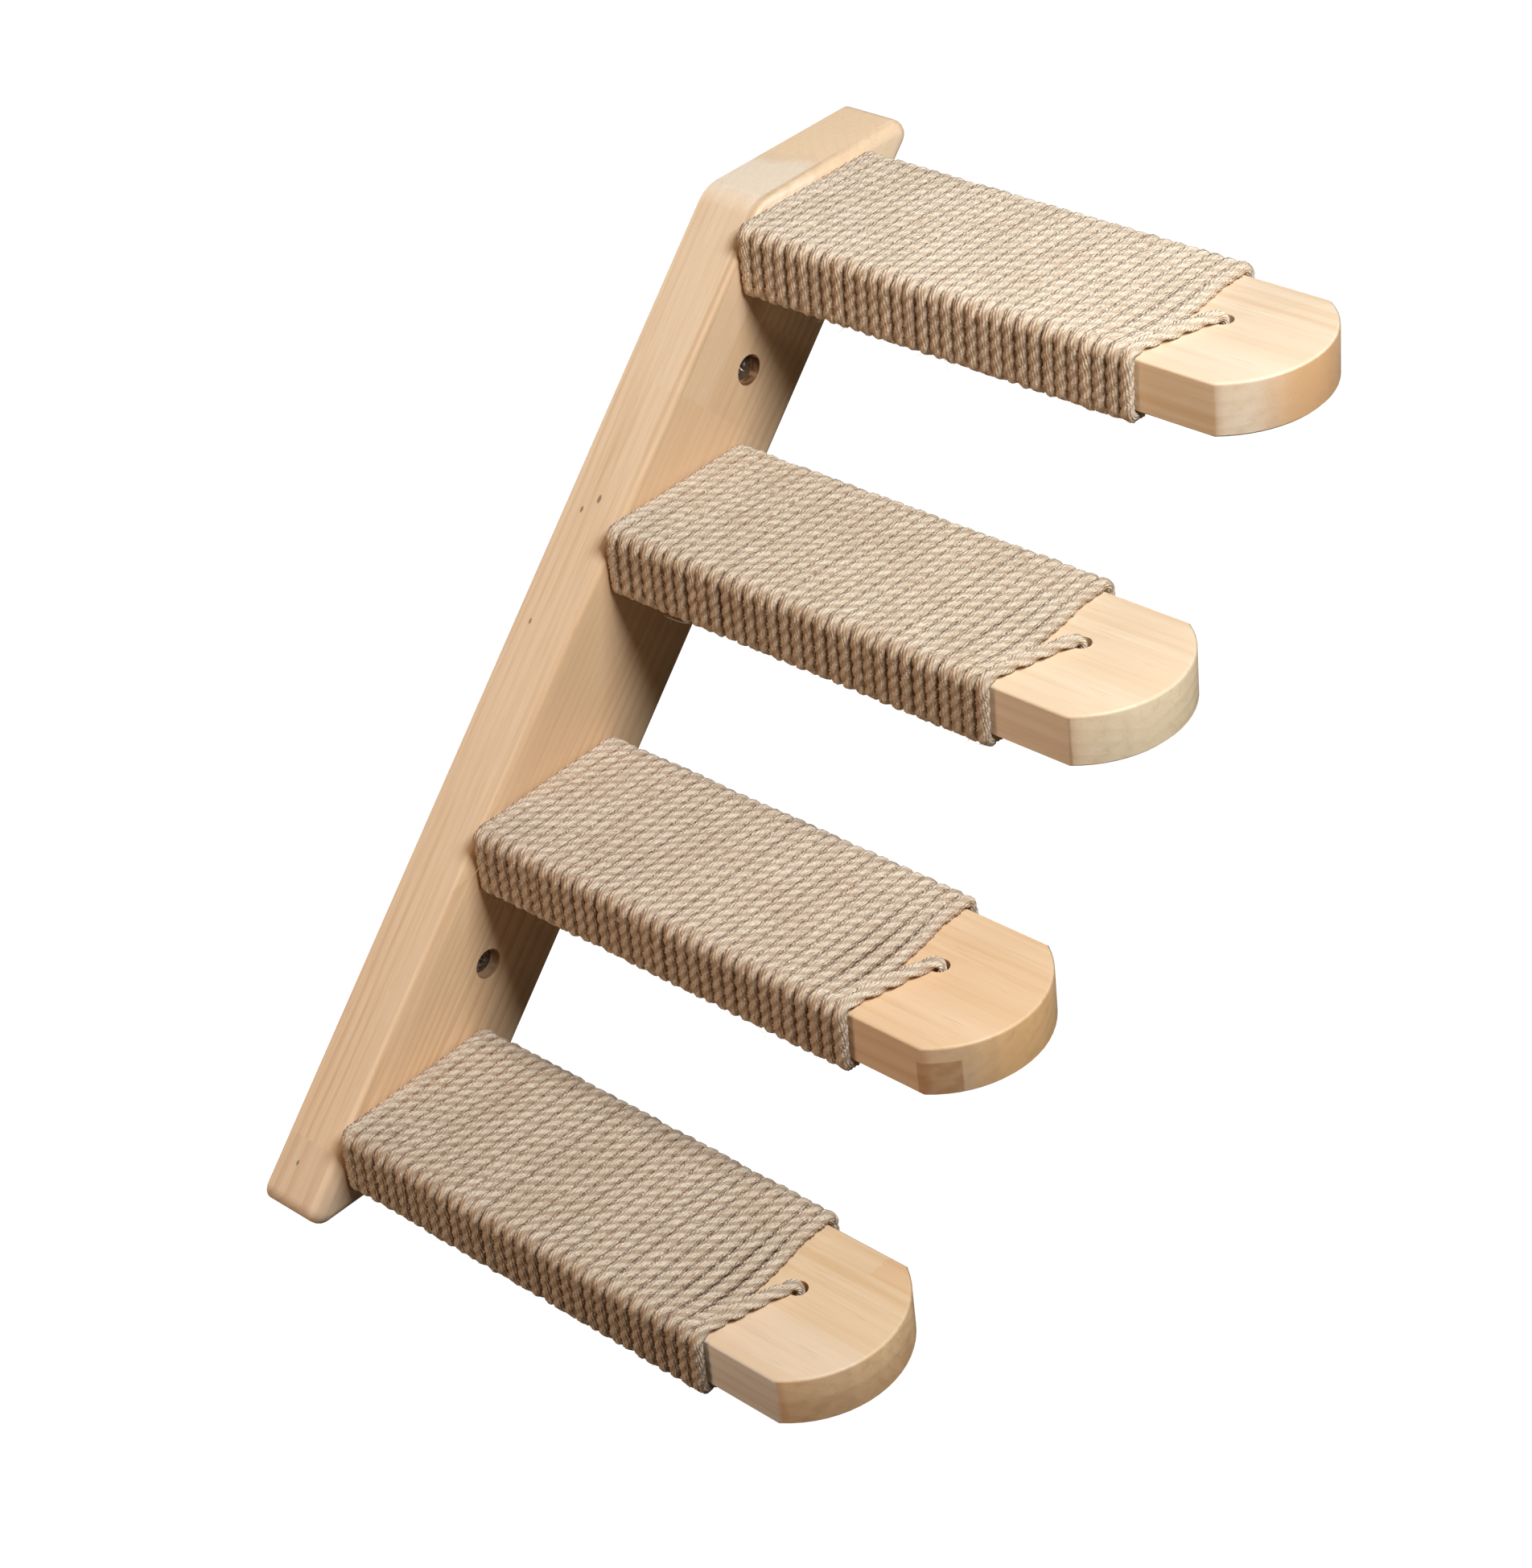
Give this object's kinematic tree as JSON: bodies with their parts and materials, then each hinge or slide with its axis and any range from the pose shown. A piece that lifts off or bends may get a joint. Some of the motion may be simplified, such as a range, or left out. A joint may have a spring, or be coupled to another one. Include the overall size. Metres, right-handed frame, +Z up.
{
  "type": "cat climbing wall",
  "caption": "Wall-mounted cat ladder: a board leaning at 45 degrees, screwed flat to the wall, with level, round-ended wooden steps wound in rope.",
  "frame": {"origin": "midpoint of the two wall screws, in the plane of the wall behind the board", "axes": "+X to the right along the wall, +Y into the wall, +Z up; the steps stand out towards -Y"},
  "size_m": [0.3182, 0.2385, 0.2532],
  "materials": {
    "board_wood": "light, fine-sanded softwood",
    "step_wood": "light, fine-sanded softwood",
    "rope": "twisted jute rope",
    "screw_steel": "plated steel"
  },
  "bodies": {
    "root": {"back_board": "board_wood", "top_step": "step_wood", "upper_step": "step_wood", "lower_step": "step_wood", "bottom_step": "step_wood", "top_rope": "rope", "upper_rope": "rope", "lower_rope": "rope", "bottom_rope": "rope", "upper_wall_screw": "screw_steel", "lower_wall_screw": "screw_steel", "top_step_left_screw": "screw_steel", "top_step_right_screw": "screw_steel", "upper_step_left_screw": "screw_steel", "upper_step_right_screw": "screw_steel", "lower_step_left_screw": "screw_steel", "lower_step_right_screw": "screw_steel", "bottom_step_left_screw": "screw_steel", "bottom_step_right_screw": "screw_steel"}
  },
  "joints": []
}
